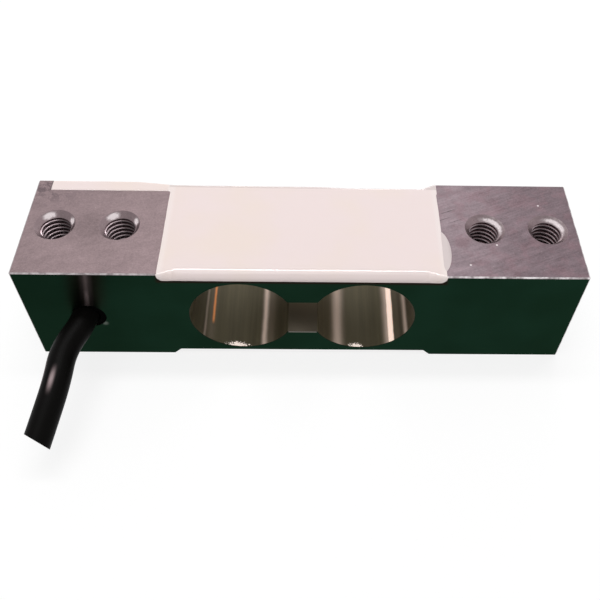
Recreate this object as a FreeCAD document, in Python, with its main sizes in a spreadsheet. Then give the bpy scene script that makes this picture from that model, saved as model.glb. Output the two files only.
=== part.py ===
"""A single point load cell: a binocular aluminium beam with bonded strain gauges under white silicone.

Millimetres. The origin is the middle of the underside, +X runs along the beam towards the load end,
the cable leaves the front face (-Y) near the other end, and +Z is up. Every piece is drawn about the
beam's middle plane and then lifted by half the beam's height.
"""

import FreeCAD, Part
import math
import os
import Sketcher
from FreeCAD import Placement, Rotation, Vector

SIZES = [
    ("beamLength", 130, "beam, end to end"),
    ("beamWidth", 30, "beam, front to back"),
    ("beamHeight", 31, "beam, between the mounting faces"),
    ("edgeBreak", 0.3, "small chamfer on the end blocks' outer edges"),
    ("endBlock", 32.5, "mounting face at each end, along the beam"),
    ("recessDepth", 2, "gauge recess, below the mounting face"),
    ("recessSlope", 2, "how far the recess's end slopes run"),
    ("boreWall", 1.2, "thin wall between a cross bore and the gauge recess"),
    ("boreSpacing", 29, "between the axes of the cross bores"),
    ("slotHeight", 11.4, "slot that joins the cross bores"),
    ("tapDrill", 6.8, "diameter of the M8 tapping drill"),
    ("sinkDiameter", 9.5, "countersink of a tapped hole, at the face"),
    ("endDistance", 7, "beam's end to the first tapped hole"),
    ("holePitch", 15, "between two tapped holes"),
    ("cableBore", 8, "diameter of the blind hole for the cable"),
    ("cableBoreDepth", 9.5, "depth of the blind hole for the cable"),
    ("wireBore", 4, "diameter of the hole that carries the cores to the back"),
    ("riserBore", 3, "diameter of the upright hole between the two grooves"),
    ("grooveWidth", 3.5, "wire groove on the back edges, front to back"),
    ("grooveDepth", 2.2, "wire groove, below the mounting face"),
    ("grooveMargin", 3.5, "beam's end to the start of the wire groove"),
    ("sealSink", 0.3, "front face to the face of the cable's sealing plug"),
    ("coreDiameter", 0.8, "insulated core of the cable"),
    ("coreSpacingAcross", 1.3, "between cores in the holes, along the beam"),
    ("coreSpacingBack", 0.9, "between cores in the holes, front to back"),
    ("coreBend", 1, "bend radius of a core"),
    ("linkDiameter", 0.4, "wire that links the lower board to the upper one"),
    ("linkOffset", 1.15, "riser's axis to a link wire, front to back"),
    ("linkSpacing", 0.6, "between the two link wires at the back"),
    ("linkBend", 0.6, "bend radius of a link wire"),
    ("filmLength", 8, "carrier film of a strain gauge"),
    ("filmWidth", 5, "carrier film of a strain gauge"),
    ("filmThickness", 0.1, "carrier film of a strain gauge"),
    ("foilThickness", 0.05, "foil of a strain gauge"),
    ("strandLength", 4.4, "strands of the foil grid"),
    ("strandWidth", 0.22, "strands of the foil grid"),
    ("strandPitch", 0.42, "between neighbouring strands"),
    ("strandPairs", 4, "strand pairs in the foil grid"),
    ("gridMargin", 0.66, "film's far end to the strands"),
    ("tabSetback", 0.55, "strands' ends to the solder tabs"),
    ("tabLength", 1.4, "solder tab of a gauge"),
    ("tabWidth", 1.2, "solder tab of a gauge"),
    ("boardLength", 12.4, "terminal board"),
    ("boardWidth", 7, "terminal board"),
    ("boardThickness", 0.15, "terminal board"),
    ("padThickness", 0.05, "copper pads of a terminal board"),
    ("padPitch", 1.5, "between the wire pads of a terminal board"),
    ("padLength", 1.2, "wire pad, front to back"),
    ("padWidth", 1.1, "wire pad, along the beam"),
    ("padMargin", 0.3, "wire pad to the board's edge"),
    ("leadPadSize", 1, "square pad for a gauge's lead"),
    ("leadDiameter", 0.2, "lead between a gauge and its board"),
    ("solderMargin", 0.25, "solder past the wire that it holds"),
    ("wireGap", 0.05, "clearance under and between wires"),
    ("chipLength", 1.6, "compensating resistor"),
    ("chipWidth", 0.8, "compensating resistor"),
    ("chipHeight", 0.4, "compensating resistor"),
    ("chipCap", 0.3, "metal end cap of a resistor"),
    ("chipStep", 0.04, "resistor's ceramic below its caps"),
    ("chipPadMargin", 0.15, "resistor's pad past its cap"),
    ("chipSpacing", 4, "between the two resistors"),
    ("chipSetback", 1.7, "board's middle to the resistors, towards the front"),
    ("siliconeProud", 0.2, "upper silicone, above the mounting face"),
    ("siliconeOverhang", 0.5, "upper silicone, past the front face"),
    ("siliconeHang", 0.4, "upper silicone, down the front face"),
    ("siliconeBackStep", 0.5, "upper silicone to the back face"),
    ("siliconeRound", 1.6, "rounded long edges of the silicone"),
    ("lowerSink", 0.3, "lower silicone, inside the mounting face"),
    ("lowerStep", 1.8, "lower silicone to the front face"),
    ("cableDiameter", 6.2, "cable jacket"),
]

# The middle line of the cable, from the middle of its hole's mouth: the jacket leans on the hole's side,
# its inner end lies in the hole, and its outer end is the cut one.
CABLE_ROUTE = [
    (-0.4, 8.0, 0.0),
    (-0.4, -0.6, 0.0),
    (-2.4, -9.2, -0.4),
    (-4.0, -17.0, -1.7),
    (-5.4, -23.8, -3.5),
    (-6.9, -30.0, -5.7),
]
CUT_FACING = (-0.48, -0.84, -0.25)
CUT_SPARE = 4
BEND_SHARE = 0.45
WIRE_PADS = 7

doc = FreeCAD.newDocument("single_point_load_cell")
sheet = doc.addObject("Spreadsheet::Sheet", "Sizes")
for row, (alias, value, note) in enumerate(SIZES, start=1):
    sheet.set(f"A{row}", note)
    sheet.set(f"B{row}", str(value))
    sheet.setAlias(f"B{row}", alias)
doc.recompute()

# Heights and places that several pieces share, as expressions on the sheet.
HALF_LENGTH = "Sizes.beamLength / 2"
HALF_WIDTH = "Sizes.beamWidth / 2"
HALF_HEIGHT = "Sizes.beamHeight / 2"
HALF_RECESS = "(Sizes.beamLength / 2 - Sizes.endBlock)"
HALF_FLOOR = "(Sizes.beamLength / 2 - Sizes.endBlock - Sizes.recessSlope)"
FLOOR = "(Sizes.beamHeight / 2 - Sizes.recessDepth)"
GROOVE_START = "(Sizes.beamLength / 2 - Sizes.grooveMargin)"
BETWEEN_HOLES = "(Sizes.beamLength / 2 - Sizes.endDistance - Sizes.holePitch / 2)"
RISER_Y = "(Sizes.beamWidth / 2 - Sizes.grooveWidth + Sizes.riserBore / 2)"
BORE_DIAMETER = "(Sizes.beamHeight - 2 * Sizes.recessDepth - 2 * Sizes.boreWall)"
BORE_X = "Sizes.boreSpacing / 2"
GRID_END = "(Sizes.gridMargin + Sizes.strandLength - Sizes.filmLength / 2)"
TAB_START = "(Sizes.gridMargin + Sizes.strandLength + Sizes.tabSetback - Sizes.filmLength / 2)"
TAB_X = "(Sizes.boreSpacing / 2 + Sizes.filmLength / 2 - Sizes.gridMargin - Sizes.strandLength"
TAB_X += " - Sizes.tabSetback - Sizes.tabLength / 2)"
BOARD_TOP = "(Sizes.beamHeight / 2 - Sizes.recessDepth + Sizes.boardThickness + Sizes.padThickness)"
LEAD_Y = "((Sizes.strandPairs - 0.5) * Sizes.strandPitch + (Sizes.strandWidth - Sizes.tabWidth) / 2)"
LEAD_PAD_X = "(Sizes.boardLength / 2 - Sizes.padMargin - Sizes.leadPadSize / 2)"
PAD_Y = "(Sizes.boardWidth / 2 - Sizes.padMargin - Sizes.padLength / 2)"


def number(expression):
    """The value of an expression on the sheet."""
    return float(sheet.evalExpression(expression))


def new_body(label):
    body = doc.addObject("PartDesign::Body", label)
    body.Label = label
    return body


def origin_feature(body, role):
    return next(feature for feature in body.Origin.OriginFeatures if feature.Role == role)


def new_sketch(body, name, plane, offset="0"):
    """A sketch on one of the body's origin planes, moved along the plane's normal by offset."""
    sketch = body.newObject("Sketcher::SketchObject", name)
    sketch.AttachmentSupport = [(origin_feature(body, plane), "")]
    sketch.MapMode = "FlatFace"
    sketch.setExpression("AttachmentOffset.Base.z", offset)
    return sketch


def pin_point(sketch, element, point, place):
    """Ties a point of the sketch to the sketch's origin by two named distances."""
    for kind, expression in zip(("DistanceX", "DistanceY"), place):
        index = sketch.addConstraint(
            Sketcher.Constraint(kind, -1, 1, element, point, number(expression))
        )
        sketch.setExpression(f"Constraints[{index}]", expression)


def outline(sketch, corners):
    """A closed outline of straight sides, with its corners given as pairs of expressions."""
    first = sketch.GeometryCount
    places = [Vector(number(x), number(y), 0) for x, y in corners]
    for start, end in zip(places, places[1:] + places[:1]):
        sketch.addGeometry(Part.LineSegment(start, end), False)
    count = len(corners)
    for side in range(count):
        following = first + (side + 1) % count
        sketch.addConstraint(Sketcher.Constraint("Coincident", first + side, 2, following, 1))
    for side, corner in enumerate(corners):
        pin_point(sketch, first + side, 1, corner)


def rectangle(sketch, x_range, y_range):
    (x0, x1), (y0, y1) = x_range, y_range
    outline(sketch, [(x0, y0), (x1, y0), (x1, y1), (x0, y1)])


def circle(sketch, x, y, diameter):
    element = sketch.addGeometry(
        Part.Circle(Vector(number(x), number(y), 0), Vector(0, 0, 1), number(diameter) / 2), False
    )
    pin_point(sketch, element, 3, (x, y))
    index = sketch.addConstraint(Sketcher.Constraint("Diameter", element, number(diameter)))
    sketch.setExpression(f"Constraints[{index}]", diameter)


def pad(body, name, sketch, length, middle=False):
    feature = body.newObject("PartDesign::Pad", name)
    feature.Profile = sketch
    feature.SideType = "Symmetric" if middle else "One side"
    feature.setExpression("Length", length)
    return feature


def pocket(body, name, sketch, length=None):
    """A pocket against the sketch's normal, or through the whole body both ways without a length."""
    feature = body.newObject("PartDesign::Pocket", name)
    feature.Profile = sketch
    if length is None:
        feature.SideType = "Symmetric"
        feature.Type = "ThroughAll"
    else:
        feature.setExpression("Length", length)
    return feature


def mirrored(body, name, feature, plane):
    copy = body.newObject("PartDesign::Mirrored", name)
    copy.Originals = [feature]
    copy.MirrorPlane = (origin_feature(body, plane), [""])
    body.Tip = copy
    return copy


def repeated(body, name, feature, axis, length, occurrences):
    row = body.newObject("PartDesign::LinearPattern", name)
    row.Originals = [feature]
    row.Direction = (origin_feature(body, axis), [""])
    row.setExpression("Length", length)
    row.setExpression("Occurrences", occurrences)
    body.Tip = row
    return row


def edge_names(feature, wanted):
    """The names of the feature's edges for which wanted(edge) holds."""
    doc.recompute()
    return [f"Edge{i}" for i, edge in enumerate(feature.Shape.Edges, start=1) if wanted(edge)]


def chamfer(body, name, feature, wanted, size):
    cut = body.newObject("PartDesign::Chamfer", name)
    cut.Base = (feature, edge_names(feature, wanted))
    cut.setExpression("Size", size)
    return cut


def fillet(body, name, feature, wanted, radius):
    rounding = body.newObject("PartDesign::Fillet", name)
    rounding.Base = (feature, edge_names(feature, wanted))
    rounding.setExpression("Radius", radius)
    return rounding


def lift(piece):
    """Raises a piece from the beam's middle plane to its height above the underside."""
    piece.setExpression("Placement.Base.z", HALF_HEIGHT)


def near(a, b):
    return math.isclose(a, b, abs_tol=1e-4)


def along_x(edge):
    return isinstance(edge.Curve, Part.Line) and abs(edge.tangentAt(edge.FirstParameter).x) > 0.999


def build_beam():
    """The beam, milled from one bar, with its bores, tapped holes, recesses and wire ways."""
    body = new_body("beam_body")
    profile = new_sketch(body, "BeamProfile", "XZ_Plane")
    upper = [
        (f"-{HALF_LENGTH}", HALF_HEIGHT),
        (f"-{HALF_RECESS}", HALF_HEIGHT),
        (f"-{HALF_FLOOR}", FLOOR),
        (HALF_FLOOR, FLOOR),
        (HALF_RECESS, HALF_HEIGHT),
        (HALF_LENGTH, HALF_HEIGHT),
    ]
    lower = [(x, f"-{z}") for x, z in reversed(upper)]
    outline(profile, upper + lower)
    bar = pad(body, "Bar", profile, "Sizes.beamWidth", middle=True)

    half, width = number(HALF_LENGTH), number(HALF_WIDTH)

    def on_outer_edge(edge):
        """The edges of the two end faces, and the long edges of the mounting faces."""
        middle = edge.CenterOfMass
        if near(abs(middle.x), half):
            return True
        return along_x(edge) and near(abs(middle.y), width) and near(abs(middle.z), number(HALF_HEIGHT))

    chamfer(body, "EdgeBreak", bar, on_outer_edge, "Sizes.edgeBreak")

    bore = new_sketch(body, "BoreSketch", "XZ_Plane")
    circle(bore, BORE_X, "0", BORE_DIAMETER)
    mirrored(body, "BorePair", pocket(body, "Bore", bore), "YZ_Plane")
    slot = new_sketch(body, "SlotSketch", "XZ_Plane")
    rectangle(
        slot,
        (f"-{BORE_X}", BORE_X),
        ("-Sizes.slotHeight / 2", "Sizes.slotHeight / 2"),
    )
    pocket(body, "Slot", slot)

    groove = new_sketch(body, "GrooveSketch", "XY_Plane", HALF_HEIGHT)
    rectangle(
        groove,
        (f"-{GROOVE_START}", f"-{HALF_FLOOR}"),
        ("Sizes.beamWidth / 2 - Sizes.grooveWidth", HALF_WIDTH),
    )
    mirrored(body, "GroovePair", pocket(body, "Groove", groove, "Sizes.grooveDepth"), "XY_Plane")

    taps = new_sketch(body, "TappedHoleSketch", "XY_Plane", HALF_HEIGHT)
    for side in ("-", ""):
        for inward in ("0", "Sizes.holePitch"):
            x = f"{side}(Sizes.beamLength / 2 - Sizes.endDistance - {inward})"
            circle(taps, x, "0", "Sizes.tapDrill")
    holes = body.newObject("PartDesign::Hole", "TappedHoles")
    holes.Profile = taps
    doc.recompute()
    holes.DepthType = "ThroughAll"
    holes.HoleCutType = "Countersink"
    holes.HoleCutCustomValues = True
    holes.HoleCutCountersinkAngle = 90
    holes.setExpression("Diameter", "Sizes.tapDrill")
    holes.setExpression("HoleCutDiameter", "Sizes.sinkDiameter")

    def on_lower_rim(edge):
        if not isinstance(edge.Curve, Part.Circle):
            return False
        lowest = near(edge.CenterOfMass.z, -number(HALF_HEIGHT))
        return lowest and near(edge.Curve.Radius, number("Sizes.tapDrill") / 2)

    chamfer(body, "LowerSinks", holes, on_lower_rim, "(Sizes.sinkDiameter - Sizes.tapDrill) / 2")

    entry = new_sketch(body, "CableBoreSketch", "XZ_Plane", HALF_WIDTH)
    circle(entry, f"-{BETWEEN_HOLES}", "0", "Sizes.cableBore")
    pocket(body, "CableBore", entry, "Sizes.cableBoreDepth")
    passage = new_sketch(body, "WireBoreSketch", "XZ_Plane", HALF_WIDTH)
    circle(passage, f"-{BETWEEN_HOLES}", "0", "Sizes.wireBore")
    pocket(body, "WireBore", passage, f"{HALF_WIDTH} + {RISER_Y}")
    riser = new_sketch(body, "RiserSketch", "XY_Plane")
    circle(riser, f"-{BETWEEN_HOLES}", RISER_Y, "Sizes.riserBore")
    pocket(body, "Riser", riser)
    lift(body)
    return body


def build_gauge(label, x, turn):
    """A bonded foil gauge: carrier film, meander grid and two solder tabs, with its tabs towards +X."""
    body = new_body(label)
    film = new_sketch(body, "FilmSketch", "XY_Plane")
    rectangle(
        film,
        ("-Sizes.filmLength / 2", "Sizes.filmLength / 2"),
        ("-Sizes.filmWidth / 2", "Sizes.filmWidth / 2"),
    )
    pad(body, "Film", film, "Sizes.filmThickness")

    far = "(Sizes.gridMargin - Sizes.filmLength / 2)"
    top = "(Sizes.strandPairs - 0.5) * Sizes.strandPitch + Sizes.strandWidth / 2"
    pair = new_sketch(body, "StrandPairSketch", "XY_Plane", "Sizes.filmThickness")
    outline(
        pair,
        [
            (GRID_END, top),
            (f"{far} - Sizes.strandWidth", top),
            (f"{far} - Sizes.strandWidth", f"{top} - Sizes.strandPitch - Sizes.strandWidth"),
            (GRID_END, f"{top} - Sizes.strandPitch - Sizes.strandWidth"),
            (GRID_END, f"{top} - Sizes.strandPitch"),
            (far, f"{top} - Sizes.strandPitch"),
            (far, f"{top} - Sizes.strandWidth"),
            (GRID_END, f"{top} - Sizes.strandWidth"),
        ],
    )
    strands = pad(body, "StrandPair", pair, "Sizes.foilThickness")
    across = "2 * Sizes.strandPitch"
    grid = repeated(
        body, "Grid", strands, "Y_Axis", f"{across} * (Sizes.strandPairs - 1)", "Sizes.strandPairs"
    )
    grid.Reversed = True

    loop = new_sketch(body, "EndLoopSketch", "XY_Plane", "Sizes.filmThickness")
    rectangle(
        loop,
        (GRID_END, f"{GRID_END} + Sizes.strandWidth"),
        (f"{top} - 2 * Sizes.strandPitch - Sizes.strandWidth", f"{top} - Sizes.strandPitch"),
    )
    end_loop = pad(body, "EndLoop", loop, "Sizes.foilThickness")
    loops = repeated(
        body, "EndLoops", end_loop, "Y_Axis", f"{across} * (Sizes.strandPairs - 2)", "Sizes.strandPairs - 1"
    )
    loops.Reversed = True

    tabs = new_sketch(body, "TabSketch", "XY_Plane", "Sizes.filmThickness")
    for side in ("", "-"):
        outer = f"{side}({top})"
        inner = f"{side}({top} - Sizes.strandWidth)"
        edge = f"{side}({top} - Sizes.tabWidth)"
        outline(
            tabs,
            [
                (GRID_END, outer),
                (f"{TAB_START} + Sizes.tabLength", outer),
                (f"{TAB_START} + Sizes.tabLength", edge),
                (TAB_START, edge),
                (TAB_START, inner),
                (GRID_END, inner),
            ],
        )
    pad(body, "Tabs", tabs, "Sizes.foilThickness")
    body.Placement = Placement(Vector(0, 0, 0), turn)
    body.setExpression("Placement.Base.x", x)
    side = "" if turn.multVec(Vector(0, 0, 1)).z > 0 else "-"
    body.setExpression("Placement.Base.z", f"{HALF_HEIGHT} + {side}{FLOOR}")
    return body


def build_board(label, turn):
    """A terminal board: seven wire pads at the back, two lead pads each side, and four chip pads."""
    body = new_body(label)
    sheet_outline = new_sketch(body, "BoardSketch", "XY_Plane")
    rectangle(
        sheet_outline,
        ("-Sizes.boardLength / 2", "Sizes.boardLength / 2"),
        ("-Sizes.boardWidth / 2", "Sizes.boardWidth / 2"),
    )
    pad(body, "Board", sheet_outline, "Sizes.boardThickness")
    first = new_sketch(body, "WirePadSketch", "XY_Plane", "Sizes.boardThickness")
    start = f"(-{WIRE_PADS - 1} / 2 * Sizes.padPitch)"
    rectangle(
        first,
        (f"{start} - Sizes.padWidth / 2", f"{start} + Sizes.padWidth / 2"),
        (f"{PAD_Y} - Sizes.padLength / 2", f"{PAD_Y} + Sizes.padLength / 2"),
    )
    wire_pad = pad(body, "WirePad", first, "Sizes.padThickness")
    repeated(body, "WirePads", wire_pad, "X_Axis", f"Sizes.padPitch * {WIRE_PADS - 1}", f"{WIRE_PADS}")

    small = new_sketch(body, "SmallPadSketch", "XY_Plane", "Sizes.boardThickness")
    half_pad = "Sizes.leadPadSize / 2"
    for side in ("-", ""):
        x = f"{side}{LEAD_PAD_X}"
        chip = f"{side}Sizes.chipSpacing / 2"
        for y in (f"-{LEAD_Y}", LEAD_Y):
            across = (f"{x} - {half_pad}", f"{x} + {half_pad}")
            rectangle(small, across, (f"{y} - {half_pad}", f"{y} + {half_pad}"))
        for end in ("-", "+"):
            cap = f"{chip} {end} (Sizes.chipLength - Sizes.chipCap) / 2"
            half_length = "(Sizes.chipCap / 2 + Sizes.chipPadMargin)"
            half_width = "(Sizes.chipWidth / 2 + Sizes.chipPadMargin)"
            rectangle(
                small,
                (f"{cap} - {half_length}", f"{cap} + {half_length}"),
                (f"-Sizes.chipSetback - {half_width}", f"-Sizes.chipSetback + {half_width}"),
            )
    pad(body, "SmallPads", small, "Sizes.padThickness")
    body.Placement = Placement(Vector(0, 0, 0), turn)
    side = "" if turn.multVec(Vector(0, 0, 1)).z > 0 else "-"
    body.setExpression("Placement.Base.z", f"{HALF_HEIGHT} + {side}{FLOOR}")
    return body


def build_resistor(label, side):
    """A chip resistor: a ceramic body between two slightly thicker metal caps."""
    body = new_body(label)
    ceramic = new_sketch(body, "CeramicSketch", "YZ_Plane")
    rectangle(
        ceramic,
        ("Sizes.chipStep - Sizes.chipWidth / 2", "Sizes.chipWidth / 2 - Sizes.chipStep"),
        ("Sizes.chipStep", "Sizes.chipHeight - Sizes.chipStep"),
    )
    pad(body, "Ceramic", ceramic, "Sizes.chipLength - Sizes.chipCap", middle=True)
    cap = new_sketch(body, "CapSketch", "YZ_Plane", "Sizes.chipLength / 2 - Sizes.chipCap")
    rectangle(cap, ("-Sizes.chipWidth / 2", "Sizes.chipWidth / 2"), ("0", "Sizes.chipHeight"))
    mirrored(body, "CapPair", pad(body, "Cap", cap, "Sizes.chipCap"), "YZ_Plane")
    body.setExpression("Placement.Base.x", f"{side}Sizes.chipSpacing / 2")
    body.setExpression("Placement.Base.y", "-Sizes.chipSetback")
    body.setExpression("Placement.Base.z", f"{HALF_HEIGHT} + {BOARD_TOP}")
    return body


def bent_line(points, radii):
    """Straight runs joined by tangent arcs, with one radius for each inner point."""
    edges = []
    start = points[0]
    for before, corner, after, radius in zip(points, points[1:], points[2:], radii):
        into = (corner - before).normalize()
        out = (after - corner).normalize()
        turn = into.getAngle(out)
        back = radius * math.tan(turn / 2)
        arc_start, arc_end = corner - into * back, corner + out * back
        towards = (out - into).normalize()
        centre = corner + towards * (radius / math.cos(turn / 2))
        middle = centre - towards * radius
        edges.append(Part.LineSegment(start, arc_start).toShape())
        edges.append(Part.Arc(arc_start, middle, arc_end).toShape())
        start = arc_end
    edges.append(Part.LineSegment(start, points[-1]).toShape())
    return Part.Wire(edges)


def tube_along(line, diameter):
    """A solid round bar swept along a line of straight runs and arcs."""
    first = line.Edges[0]
    place, direction = first.valueAt(first.FirstParameter), first.tangentAt(first.FirstParameter)
    section = Part.Wire(Part.Circle(place, direction, diameter / 2).toShape())
    return line.makePipeShell([section], True, False)


def new_feature(label, shape):
    feature = doc.addObject("Part::Feature", label)
    feature.Label = label
    feature.Shape = shape
    return feature


def pad_x(index):
    """The place along the beam of one of the boards' wire pads."""
    return (index - (WIRE_PADS - 1) / 2) * number("Sizes.padPitch")


def build_wire(label, places, diameter, bend):
    """A wire through places about the beam's middle, with the same bend at each corner."""
    points = [Vector(*place) for place in places]
    line = bent_line(points, [bend] * (len(points) - 2))
    wire = new_feature(label, tube_along(line, diameter))
    lift(wire)
    return wire


def wire_levels(diameter):
    """The heights of a wire that lies on the pads and of one that crosses over it."""
    on_pad = number(f"{BOARD_TOP} + Sizes.wireGap") + diameter / 2
    return on_pad, on_pad + diameter + number("Sizes.wireGap")


def way_to_pad(x, y, level, on_pad):
    """The last points of a wire: along the groove at its level, then forward and down to its pad."""
    end = number(PAD_Y)
    if near(level, on_pad):
        return [(x, y, level), (x, end, level)]
    descent = (y - end) / 3
    return [(x, y, level), (x, y - descent, level), (x, end + descent, on_pad), (x, end, on_pad)]


def build_core(label, across, back, high, index):
    """A core of the cable, from the jacket's inner end through the beam to its pad."""
    diameter = number("Sizes.coreDiameter")
    on_pad, crossing = wire_levels(diameter)
    level = crossing if high else on_pad
    x = -number(BETWEEN_HOLES) + across * number("Sizes.coreSpacingAcross") / 2
    offset = back * number("Sizes.coreSpacingBack") / 2
    y = number(RISER_Y) + offset
    jacket_end = CABLE_ROUTE[0][1] - number(HALF_WIDTH)
    start = [(x, jacket_end, -offset), (x, y, -offset), (x, y, level)]
    places = start + way_to_pad(pad_x(index), y, level, on_pad)
    return build_wire(label, places, diameter, number("Sizes.coreBend"))


def build_links():
    """Three wires from the lower board, up through the riser, to the upper board."""
    diameter = number("Sizes.linkDiameter")
    on_pad, crossing = wire_levels(diameter)
    offset, spacing = number("Sizes.linkOffset"), number("Sizes.linkSpacing")
    wires = []
    for name, across, back, level, index in (
        ("LinkFront", 0, -offset, on_pad, 0),
        ("LinkBackLow", spacing / 2, offset, on_pad, 5),
        ("LinkBackHigh", -spacing / 2, offset, crossing, 6),
    ):
        x = -number(BETWEEN_HOLES) + across
        upper = [(x, number(RISER_Y) + back, level)]
        upper += way_to_pad(pad_x(index), number(RISER_Y) + back, level, on_pad)
        lower = [(px, py, -pz) for px, py, pz in reversed(upper)]
        wires.append(build_wire(name, lower + upper, diameter, number("Sizes.linkBend")))
    group = doc.addObject("Part::Compound", "link_wires")
    group.Links = wires
    return group


def build_leads(label, turn):
    """Four leads, from the gauges' tabs to the lead pads of one board."""
    height = number(f"{BOARD_TOP} + Sizes.wireGap + Sizes.leadDiameter / 2")
    leads = []
    for side in (-1, 1):
        for across in (-1, 1):
            lead = doc.addObject("Part::Cylinder", f"{label}_{len(leads) + 1}")
            lead.setExpression("Radius", "Sizes.leadDiameter / 2")
            lead.setExpression("Height", f"{TAB_X} - {LEAD_PAD_X}")
            base = Vector(side * number(LEAD_PAD_X), across * number(LEAD_Y), height)
            lie = Placement(base, Rotation(Vector(0, 0, 1), Vector(side, 0, 0)))
            lead.Placement = Placement(Vector(0, 0, number(HALF_HEIGHT)), turn).multiply(lie)
            leads.append(lead)
    group = doc.addObject("Part::Compound", label)
    group.Links = leads
    return group


def build_solder(label, spots, turn, wires):
    """Solder on the pads and tabs at spots, each a low cone cast around the end of its wire."""
    cones = []
    for index, (x, y, floor, diameter) in enumerate(spots, start=1):
        cone = doc.addObject("Part::Cone", f"{label}_{index}")
        cone.Radius1 = diameter / 2 + number("Sizes.solderMargin")
        cone.Radius2 = diameter / 2 + number("Sizes.solderMargin") / 2
        cone.Height = diameter + number("Sizes.solderMargin")
        stand = Placement(Vector(x, y, floor), Rotation())
        cone.Placement = Placement(Vector(0, 0, number(HALF_HEIGHT)), turn).multiply(stand)
        cones.append(cone)
    group = doc.addObject("Part::Compound", f"{label}_cones")
    group.Links = cones
    tool = doc.addObject("Part::Compound", f"{label}_wires")
    tool.Links = wires
    joints = doc.addObject("Part::Cut", label)
    joints.Base = group
    joints.Tool = tool
    return joints


def solder_spots(wire_pads):
    """Where one board and its two gauges are soldered, and the diameter of the wire at each spot."""
    board_top = number(BOARD_TOP)
    foil_top = number(f"{FLOOR} + Sizes.filmThickness + Sizes.foilThickness")
    lead = number("Sizes.leadDiameter")
    spots = [(pad_x(index), number(PAD_Y), board_top, number(size)) for index, size in wire_pads]
    for side in (-1, 1):
        for y in (-number(LEAD_Y), number(LEAD_Y)):
            spots.append((side * number(LEAD_PAD_X), y, board_top, lead))
            spots.append((side * number(TAB_X), y, foil_top, lead))
    return spots


def build_silicone(label, side, proud, front, back, inner):
    """Silicone over one recess and its wire groove, cast around the pieces that lie in them."""
    blank = new_body(f"{label}_blank")
    face = f"({HALF_HEIGHT} + {proud})"
    block = new_sketch(blank, "BlockSketch", "YZ_Plane")
    overhang = number(front) > number(HALF_WIDTH)
    lip_foot = f"{FLOOR} - Sizes.siliconeHang"
    lip = [
        (f"-{HALF_WIDTH}", f"{side}({lip_foot})"),
        (f"-({front})", f"{side}({lip_foot} + {front} - {HALF_WIDTH})"),
    ]
    foot = lip if overhang else [(f"-({front})", f"{side}{FLOOR}")]
    outline(
        block,
        foot + [(f"-({front})", f"{side}{face}"), (back, f"{side}{face}"), (back, f"{side}{FLOOR}")],
    )
    body_of_pad = pad(blank, "Block", block, f"2 * {HALF_RECESS}", middle=True)
    level = abs(number(face))

    def on_long_edge(edge):
        return along_x(edge) and near(abs(edge.CenterOfMass.z), level)

    fillet(blank, "LongEdges", body_of_pad, on_long_edge, "Sizes.siliconeRound")
    fill = new_sketch(blank, "GrooveFillSketch", "YZ_Plane", f"-{GROOVE_START}")
    ground = f"({HALF_HEIGHT} - Sizes.grooveDepth)"
    rounding = "Sizes.siliconeRound / 2"
    outline(
        fill,
        [
            ("Sizes.beamWidth / 2 - Sizes.grooveWidth", f"{side}{ground}"),
            (HALF_WIDTH, f"{side}{ground}"),
            (HALF_WIDTH, f"{side}({face} - {rounding})"),
            (f"{HALF_WIDTH} - {rounding}", f"{side}{face}"),
            ("Sizes.beamWidth / 2 - Sizes.grooveWidth", f"{side}{face}"),
        ],
    )
    pad(blank, "GrooveFill", fill, f"{GROOVE_START} - {HALF_FLOOR}")
    lift(blank)
    mould = doc.addObject("Part::Compound", f"{label}_mould")
    mould.Links = inner
    trimmed = doc.addObject("Part::Cut", f"{label}_trimmed")
    trimmed.Base = blank
    trimmed.Tool = beam
    silicone = doc.addObject("Part::Cut", label)
    silicone.Base = trimmed
    silicone.Tool = mould
    return silicone


def build_seal(jacket, cores):
    """The sealing plug in the cable's blind hole, cast around the jacket and the cores."""
    plug = doc.addObject("Part::Cylinder", "SealBlank")
    plug.setExpression("Radius", "Sizes.cableBore / 2")
    plug.setExpression("Height", "Sizes.cableBoreDepth - Sizes.sealSink")
    plug.Placement = Placement(Vector(0, 0, 0), Rotation(Vector(1, 0, 0), -90))
    plug.setExpression("Placement.Base.x", f"-{BETWEEN_HOLES}")
    plug.setExpression("Placement.Base.y", f"-{HALF_WIDTH} + Sizes.sealSink")
    plug.setExpression("Placement.Base.z", HALF_HEIGHT)
    tool = doc.addObject("Part::Compound", "SealMould")
    tool.Links = [jacket] + cores
    seal = doc.addObject("Part::Cut", "cable_seal")
    seal.Base = plug
    seal.Tool = tool
    return seal


def build_jacket():
    """The cable's jacket along its route, on arcs as large as the runs allow, with a slanting cut end."""
    mouth = Vector(-number(BETWEEN_HOLES), -number(HALF_WIDTH), number(HALF_HEIGHT))
    points = [mouth + Vector(*place) for place in CABLE_ROUTE]
    end, onward = points[-1], (points[-1] - points[-2]).normalize()
    points[-1] = end + onward * CUT_SPARE / 2
    radii = []
    for before, corner, after in zip(points, points[1:], points[2:]):
        into, out = corner - before, after - corner
        radii.append(BEND_SHARE * min(into.Length, out.Length) / math.tan(into.getAngle(out) / 2))
    line = bent_line(points, radii)
    diameter = number("Sizes.cableDiameter")
    shape = tube_along(line, diameter)
    expected = math.pi * diameter**2 / 4 * line.Length
    print("cable radii", [round(radius, 1) for radius in radii], "length", round(line.Length, 2))
    print("cable volume over section times length", round(shape.Volume / expected, 5))
    spare = Part.makeBox(3 * diameter, 3 * diameter, CUT_SPARE)
    spare.translate(Vector(-1.5 * diameter, -1.5 * diameter, 0))
    facing = Placement(end, Rotation(Vector(0, 0, 1), Vector(*CUT_FACING)))
    spare.Placement = facing.multiply(spare.Placement)
    return new_feature("cable_jacket", shape.cut(spare))


upright = Rotation()
over_end = Rotation(Vector(0, 1, 0), 180)
facing_back = Rotation(Vector(0, 0, 1), 180)

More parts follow.
